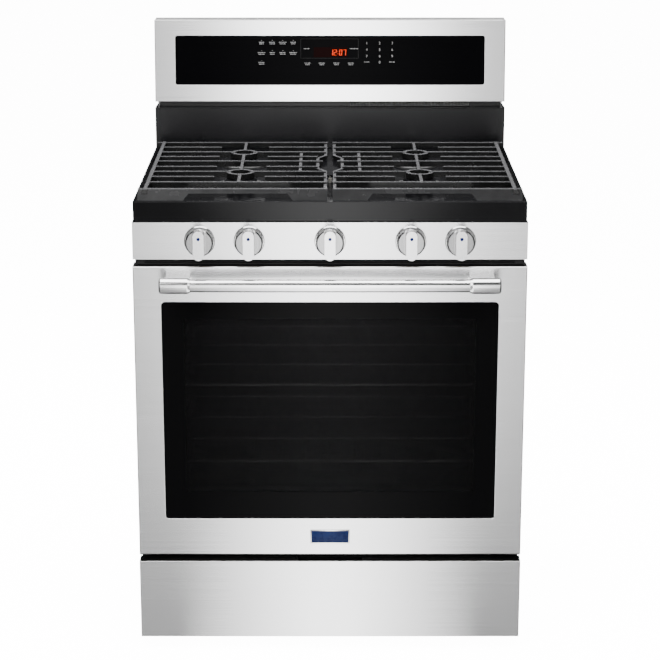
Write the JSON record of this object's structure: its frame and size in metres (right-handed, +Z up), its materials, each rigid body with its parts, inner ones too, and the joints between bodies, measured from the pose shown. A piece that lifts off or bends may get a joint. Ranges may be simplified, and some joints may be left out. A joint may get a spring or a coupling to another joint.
{
  "type": "freestanding gas range",
  "caption": "Freestanding gas range with cast-iron grates over sealed burners, a windowed oven door, a storage drawer, front knobs and a backguard control glass.",
  "frame": {"origin": "on the floor under the centre of the range's bounding box", "axes": "+Z up, front with the door and knobs towards -Y, +X to the right seen from the back and to the viewer's right seen from the front"},
  "size_m": [0.76, 0.73, 1.188],
  "materials": {
    "brushed": "brushed, satin",
    "bright": "polished",
    "galv": "galvanised sheet, satin",
    "black_enamel": "gloss porcelain enamel",
    "cabinet_paint": "satin paint",
    "oven_enamel": "speckled porcelain enamel",
    "iron": "matt enamelled casting",
    "alu": "as cast",
    "brassy": "machined",
    "black_glass": "gloss",
    "lamp_glass": "clear",
    "plastic": "moulded",
    "board": "laminate",
    "ceramic": "unglazed",
    "rope": "woven glass rope"
  },
  "bodies": {
    "cabinet": {"base_frame": "galv", "levelling_feet": "plastic", "side_panels": "cabinet_paint", "back_panel": "galv", "oven_base_pan": "galv", "oven_front_frame": "black_enamel", "oven_floor": "oven_enamel", "oven_side_walls": "oven_enamel", "oven_roof": "oven_enamel", "oven_rear_wall": "oven_enamel", "rack_guides": "oven_enamel", "oven_gasket": "rope", "bake_burner": "alu", "broil_burner": "alu", "oven_lamp": "lamp_glass", "fan_cover": "oven_enamel", "fan_motor": "galv", "hinge_receivers": "galv", "drawer_rails": "galv", "front_vent_trim": "cabinet_paint", "control_panel": "brushed", "knob_bezels": "bright", "gas_manifold": "galv", "gas_valves": "brassy", "gas_regulator": "alu", "burner_tubes": "alu", "cooktop": "black_enamel", "burner_heads": "alu", "burner_caps": "black_enamel", "igniters": "ceramic", "riser": "black_enamel", "fascia": "brushed", "control_glass": "black_glass", "control_board": "board", "rear_cover": "galv"},
    "fan": {"fan_blade": "galv"},
    "door": {"door_skin": "brushed", "door_glass": "black_glass", "door_liner": "oven_enamel", "inner_glass": "black_glass", "door_hinges": "galv", "handle_bar": "brushed", "handle_ends": "brushed"},
    "drawer": {"drawer_front": "brushed", "drawer_top_trim": "plastic", "drawer_pan": "galv"},
    "rack_high": {"upper_rack": "bright"},
    "rack_low": {"lower_rack": "bright"},
    "grate_left": {"left_grate": "iron"},
    "grate_right": {"right_grate": "iron"},
    "stem_1": {"spindle_1": "brassy"},
    "dial_1": {"knob_1": "brushed"},
    "stem_2": {"spindle_2": "brassy"},
    "dial_2": {"knob_2": "brushed"},
    "stem_3": {"spindle_3": "brassy"},
    "dial_3": {"knob_3": "brushed"},
    "stem_4": {"spindle_4": "brassy"},
    "dial_4": {"knob_4": "brushed"},
    "stem_5": {"spindle_5": "brassy"},
    "dial_5": {"knob_5": "brushed"}
  },
  "joints": [
    {"name": "door_hinge", "type": "hinge", "parent": "cabinet", "child": "door", "pos_m": [0, -0.273, 0.213], "axis": [1, 0, 0], "range_deg": [0, 90], "stiffness_Nm_per_rad": 15, "springref_deg": -8.59},
    {"name": "drawer_slide", "type": "slide", "parent": "cabinet", "child": "drawer", "axis": [0, -1, 0], "range_m": [0, 0.4]},
    {"name": "rack_high_slide", "type": "slide", "parent": "cabinet", "child": "rack_high", "axis": [0, -1, 0], "range_m": [0, 0.315]},
    {"name": "rack_low_slide", "type": "slide", "parent": "cabinet", "child": "rack_low", "axis": [0, -1, 0], "range_m": [0, 0.315]},
    {"name": "grate_left_lift", "type": "slide", "parent": "cabinet", "child": "grate_left", "axis": [0, 0, 1], "range_m": [0, 0.12]},
    {"name": "grate_right_lift", "type": "slide", "parent": "cabinet", "child": "grate_right", "axis": [0, 0, 1], "range_m": [0, 0.12]},
    {"name": "fan_spin", "type": "hinge", "parent": "cabinet", "child": "fan", "pos_m": [0, 0.23, 0.46984], "axis": [0, 1, 0], "continuous": true},
    {"name": "knob_1_push", "type": "slide", "parent": "cabinet", "child": "stem_1", "axis": [0, 1, 0], "range_m": [0, 0.003], "stiffness_N_per_m": 1000},
    {"name": "knob_1_turn", "type": "hinge", "parent": "stem_1", "child": "dial_1", "pos_m": [-0.25, -0.31, 0.83925], "axis": [0, -1, 0], "range_deg": [0, 270]},
    {"name": "knob_2_push", "type": "slide", "parent": "cabinet", "child": "stem_2", "axis": [0, 1, 0], "range_m": [0, 0.003], "stiffness_N_per_m": 1000},
    {"name": "knob_2_turn", "type": "hinge", "parent": "stem_2", "child": "dial_2", "pos_m": [-0.155, -0.31, 0.83925], "axis": [0, -1, 0], "range_deg": [0, 270]},
    {"name": "knob_3_push", "type": "slide", "parent": "cabinet", "child": "stem_3", "axis": [0, 1, 0], "range_m": [0, 0.003], "stiffness_N_per_m": 1000},
    {"name": "knob_3_turn", "type": "hinge", "parent": "stem_3", "child": "dial_3", "pos_m": [0, -0.31, 0.83925], "axis": [0, -1, 0], "range_deg": [0, 270]},
    {"name": "knob_4_push", "type": "slide", "parent": "cabinet", "child": "stem_4", "axis": [0, 1, 0], "range_m": [0, 0.003], "stiffness_N_per_m": 1000},
    {"name": "knob_4_turn", "type": "hinge", "parent": "stem_4", "child": "dial_4", "pos_m": [0.155, -0.31, 0.83925], "axis": [0, -1, 0], "range_deg": [0, 270]},
    {"name": "knob_5_push", "type": "slide", "parent": "cabinet", "child": "stem_5", "axis": [0, 1, 0], "range_m": [0, 0.003], "stiffness_N_per_m": 1000},
    {"name": "knob_5_turn", "type": "hinge", "parent": "stem_5", "child": "dial_5", "pos_m": [0.25, -0.31, 0.83925], "axis": [0, -1, 0], "range_deg": [0, 270]}
  ],
  "couplings": [
    {"joint": "rack_high_slide", "follows": "door_hinge", "m_per_rad": 0.2},
    {"joint": "rack_low_slide", "follows": "door_hinge", "m_per_rad": 0.2}
  ]
}
